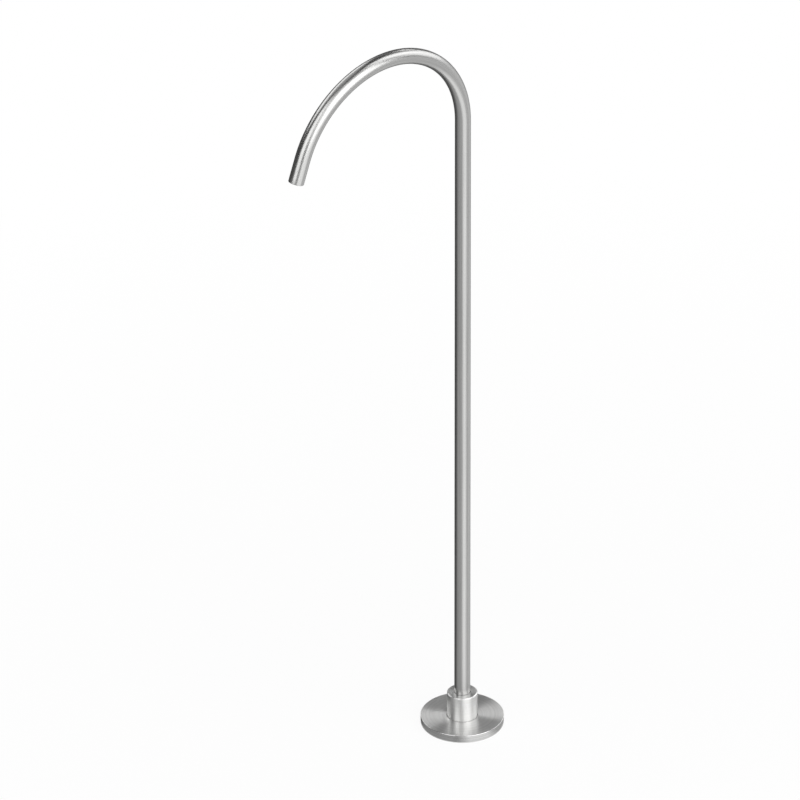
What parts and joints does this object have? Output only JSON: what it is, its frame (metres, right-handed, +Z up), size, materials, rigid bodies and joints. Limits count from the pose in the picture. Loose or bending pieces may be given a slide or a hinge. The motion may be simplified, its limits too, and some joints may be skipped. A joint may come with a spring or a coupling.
{
  "type": "freestanding basin spout",
  "caption": "Floor-standing basin spout: a slim gooseneck tube that swivels in a collared base, with a lift-up round cover plate and a recessed aerator in its mouth.",
  "frame": {"origin": "on the floor, at the axis of the upright tube and the centre of the floor screw pattern", "axes": "+Z up along the upright tube, -Y the way the gooseneck reaches, X across"},
  "size_m": [0.115, 0.3702, 1.1269],
  "materials": {
    "tube_steel": "satin, fine brushing along the tube",
    "collar_steel": "satin, fine turned",
    "cover_steel": "satin, turned in fine rings",
    "plate_steel": "milled",
    "screw_steel": "bright",
    "spring_steel": "plain",
    "sieve_steel": "bright sheet",
    "body_brass": "turned",
    "seal_rubber": "matt moulded",
    "bearing_plastic": "turned acetal",
    "aerator_plastic": "moulded acetal"
  },
  "bodies": {
    "base": {"base_plate": "plate_steel", "floor_gasket": "seal_rubber", "swivel_barrel": "body_brass", "barrel_screws": "screw_steel", "inlet_washer": "seal_rubber", "inlet_strainer": "sieve_steel", "thrust_ring": "bearing_plastic", "guide_bush": "bearing_plastic", "bush_retaining_ring": "spring_steel", "swivel_stop_screw": "screw_steel", "collar": "collar_steel", "collar_set_screw": "screw_steel", "collar_wiper": "seal_rubber"},
    "spout": {"spout_tube": "tube_steel", "spout_spigot": "body_brass", "lower_o_ring": "seal_rubber", "upper_o_ring": "seal_rubber", "outlet_sleeve": "body_brass", "aerator_housing": "aerator_plastic", "aerator_grid": "aerator_plastic", "aerator_screens": "sieve_steel", "aerator_diffuser": "aerator_plastic", "aerator_seal": "seal_rubber"},
    "cover": {"cover_plate": "cover_steel", "cover_plate_o_ring": "seal_rubber"}
  },
  "joints": [
    {"name": "spout_swivel", "type": "hinge", "parent": "base", "child": "spout", "pos_m": [0, 0, 0.0222], "axis": [0, 0, 1], "range_deg": [-60, 60]},
    {"name": "cover_lift", "type": "slide", "parent": "base", "child": "cover", "axis": [0, 0, 1], "range_m": [0, 0.03]}
  ]
}
